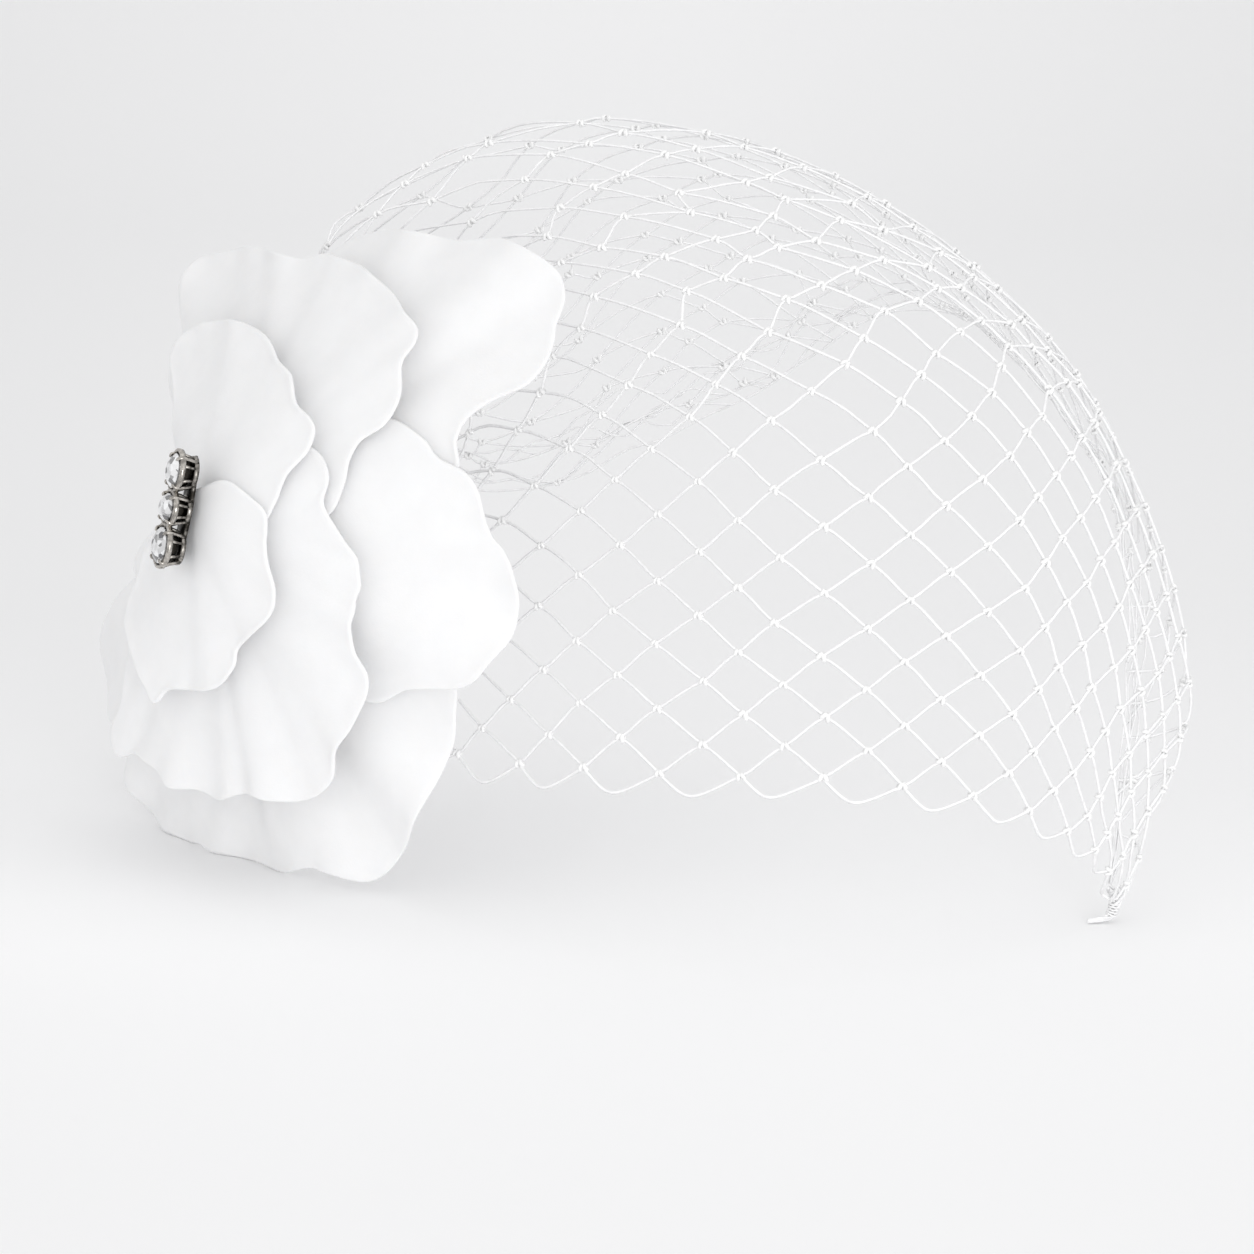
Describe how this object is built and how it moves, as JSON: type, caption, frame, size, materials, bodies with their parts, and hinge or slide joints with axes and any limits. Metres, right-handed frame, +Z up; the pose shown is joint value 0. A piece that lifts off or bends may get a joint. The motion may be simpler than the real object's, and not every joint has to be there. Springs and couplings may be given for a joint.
{
  "type": "birdcage veil",
  "caption": "Birdcage veil: a domed half-face veil of white diamond net that springs from a white petal flower with a jewelled heart and gathers to a bound tip.",
  "frame": {"origin": "under the middle of the footprint, on the surface it stands on", "axes": "+X to the right in the picture, from the flower to the tip of the net; +Z up; the viewer is on the -Y side"},
  "size_m": [0.229, 0.1322, 0.1505],
  "materials": {
    "petal_cloth": "stiffened white satin cloth with a soft sheen",
    "net_thread": "fine white knotted thread",
    "base_cloth": "plain white felt",
    "antique_silver": "dark antique silver with worn bright edges",
    "comb_metal": "plain bright metal",
    "clear_stone": "clear cut crystal with a foiled back"
  },
  "bodies": {
    "root": {"petal_bottom_outer": "petal_cloth", "petal_top_outer": "petal_cloth", "petal_back_outer": "petal_cloth", "petal_right_outer": "petal_cloth", "petal_left_outer": "petal_cloth", "petal_top_middle": "petal_cloth", "petal_bottom_middle": "petal_cloth", "petal_back_middle": "petal_cloth", "petal_top_inner": "petal_cloth", "petal_back_inner": "petal_cloth", "petal_bottom_inner": "petal_cloth", "flower_base": "base_cloth", "veil_net": "net_thread", "net_end_binding": "net_thread", "side_comb": "comb_metal", "jewel_setting": "antique_silver", "stone_top": "clear_stone", "stone_middle": "clear_stone", "stone_bottom": "clear_stone"}
  },
  "joints": []
}
